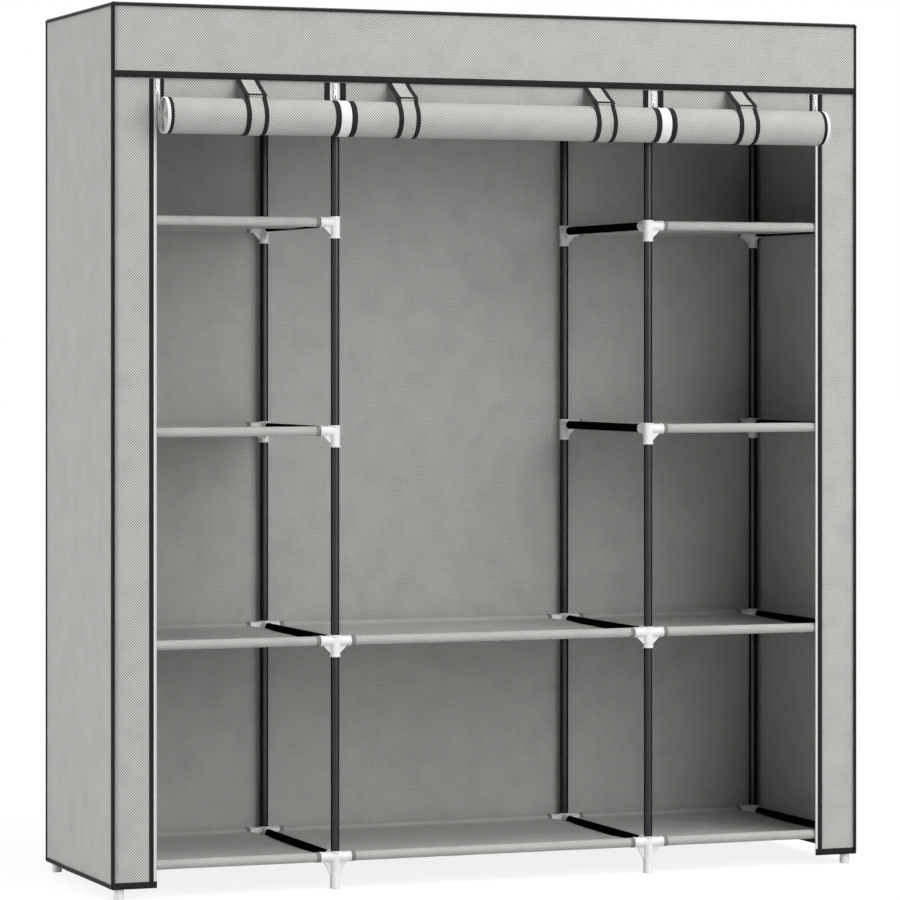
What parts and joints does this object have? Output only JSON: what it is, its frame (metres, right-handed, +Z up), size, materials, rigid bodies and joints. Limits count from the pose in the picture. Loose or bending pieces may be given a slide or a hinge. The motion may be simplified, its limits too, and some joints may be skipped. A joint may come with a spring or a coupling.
{
  "type": "portable fabric wardrobe",
  "caption": "Free-standing knock-down wardrobe: tube frame in plastic corner connectors, hanging cloth shelves, a cloth cover with rolled-up zip doors, and a hanging rail.",
  "frame": {"origin": "on the floor, under the middle of the whole wardrobe with its doors rolled up", "axes": "+Z up, front (doors) towards -Y, +X to the right as seen from the front"},
  "size_m": [1.4982, 0.516, 1.6293],
  "materials": {
    "frame_steel": "glossy black powder-coated steel tube",
    "connector_plastic": "moulded white polypropylene, satin",
    "shelf_cloth": "light grey non-woven cloth with a fine embossed diamond pattern",
    "cover_cloth": "light grey non-woven cloth with black bound edges",
    "zip_tape": "white woven zip tape with a white nylon coil",
    "zip_metal": "bright nickel-plated zinc",
    "strap_cloth": "grey non-woven strap with black bound edges"
  },
  "bodies": {
    "wardrobe": {"left_bay_frame_1": "frame_steel", "right_bay_frame_1": "frame_steel", "left_bay_frame_2": "frame_steel", "right_bay_frame_2": "frame_steel", "left_bay_frame_3": "frame_steel", "right_bay_frame_3": "frame_steel", "left_bay_frame_4": "frame_steel", "right_bay_frame_4": "frame_steel", "top_frame": "frame_steel", "upright_front_left_outer": "frame_steel", "upright_front_left_inner": "frame_steel", "upright_front_right_inner": "frame_steel", "upright_front_right_outer": "frame_steel", "upright_back_left_outer": "frame_steel", "upright_back_left_inner": "frame_steel", "upright_back_right_inner": "frame_steel", "upright_back_right_outer": "frame_steel", "centre_rail_front_1": "frame_steel", "centre_rail_front_2": "frame_steel", "centre_rail_back_1": "frame_steel", "centre_rail_back_2": "frame_steel", "hanging_rail": "frame_steel", "hanging_rail_clip_left": "connector_plastic", "hanging_rail_clip_right": "connector_plastic", "shelf_left_1": "shelf_cloth", "shelf_left_2": "shelf_cloth", "shelf_left_3": "shelf_cloth", "shelf_left_4": "shelf_cloth", "shelf_centre_1": "shelf_cloth", "shelf_centre_2": "shelf_cloth", "shelf_right_1": "shelf_cloth", "shelf_right_2": "shelf_cloth", "shelf_right_3": "shelf_cloth", "shelf_right_4": "shelf_cloth", "cover_side_left": "cover_cloth", "cover_side_right": "cover_cloth", "cover_strip_left": "cover_cloth", "cover_strip_right": "cover_cloth", "cover_back": "cover_cloth", "cover_top": "cover_cloth", "cover_valance": "cover_cloth", "door_left": "cover_cloth", "door_centre": "cover_cloth", "door_right": "cover_cloth", "zip_left_outer": "zip_tape", "zip_left_inner": "zip_tape", "zip_right_inner": "zip_tape", "zip_right_outer": "zip_tape", "strap_left_door": "strap_cloth", "strap_centre_door_left": "strap_cloth", "strap_centre_door_right": "strap_cloth", "strap_right_door": "strap_cloth"},
    "zip_slider_left_outer": {"slider_left_outer": "zip_metal"},
    "zip_slider_left_inner": {"slider_left_inner": "zip_metal"},
    "zip_slider_right_inner": {"slider_right_inner": "zip_metal"},
    "zip_slider_right_outer": {"slider_right_outer": "zip_metal"},
    "zip_pull_left_outer": {"pull_tab_left_outer": "zip_metal"},
    "zip_pull_left_inner": {"pull_tab_left_inner": "zip_metal"},
    "zip_pull_right_inner": {"pull_tab_right_inner": "zip_metal"},
    "zip_pull_right_outer": {"pull_tab_right_outer": "zip_metal"}
  },
  "joints": [
    {"name": "left_outer_zip_travel", "type": "slide", "parent": "wardrobe", "child": "zip_slider_left_outer", "axis": [0, 0, 1], "range_m": [-1.44, 0]},
    {"name": "left_inner_zip_travel", "type": "slide", "parent": "wardrobe", "child": "zip_slider_left_inner", "axis": [0, 0, 1], "range_m": [-0.028, 0]},
    {"name": "right_inner_zip_travel", "type": "slide", "parent": "wardrobe", "child": "zip_slider_right_inner", "axis": [0, 0, 1], "range_m": [-0.028, 0]},
    {"name": "right_outer_zip_travel", "type": "slide", "parent": "wardrobe", "child": "zip_slider_right_outer", "axis": [0, 0, 1], "range_m": [-1.44, 0]},
    {"name": "left_outer_pull_swing", "type": "hinge", "parent": "zip_slider_left_outer", "child": "zip_pull_left_outer", "pos_m": [-0.664, -0.18927, 1.487], "axis": [-1, 0, 0], "range_deg": [0, 150]},
    {"name": "left_inner_pull_swing", "type": "hinge", "parent": "zip_slider_left_inner", "child": "zip_pull_left_inner", "pos_m": [-0.3212, -0.18927, 1.487], "axis": [-1, 0, 0], "range_deg": [0, 150]},
    {"name": "right_inner_pull_swing", "type": "hinge", "parent": "zip_slider_right_inner", "child": "zip_pull_right_inner", "pos_m": [0.3212, -0.18927, 1.487], "axis": [-1, 0, 0], "range_deg": [0, 150]},
    {"name": "right_outer_pull_swing", "type": "hinge", "parent": "zip_slider_right_outer", "child": "zip_pull_right_outer", "pos_m": [0.664, -0.18927, 1.487], "axis": [-1, 0, 0], "range_deg": [0, 150]}
  ]
}
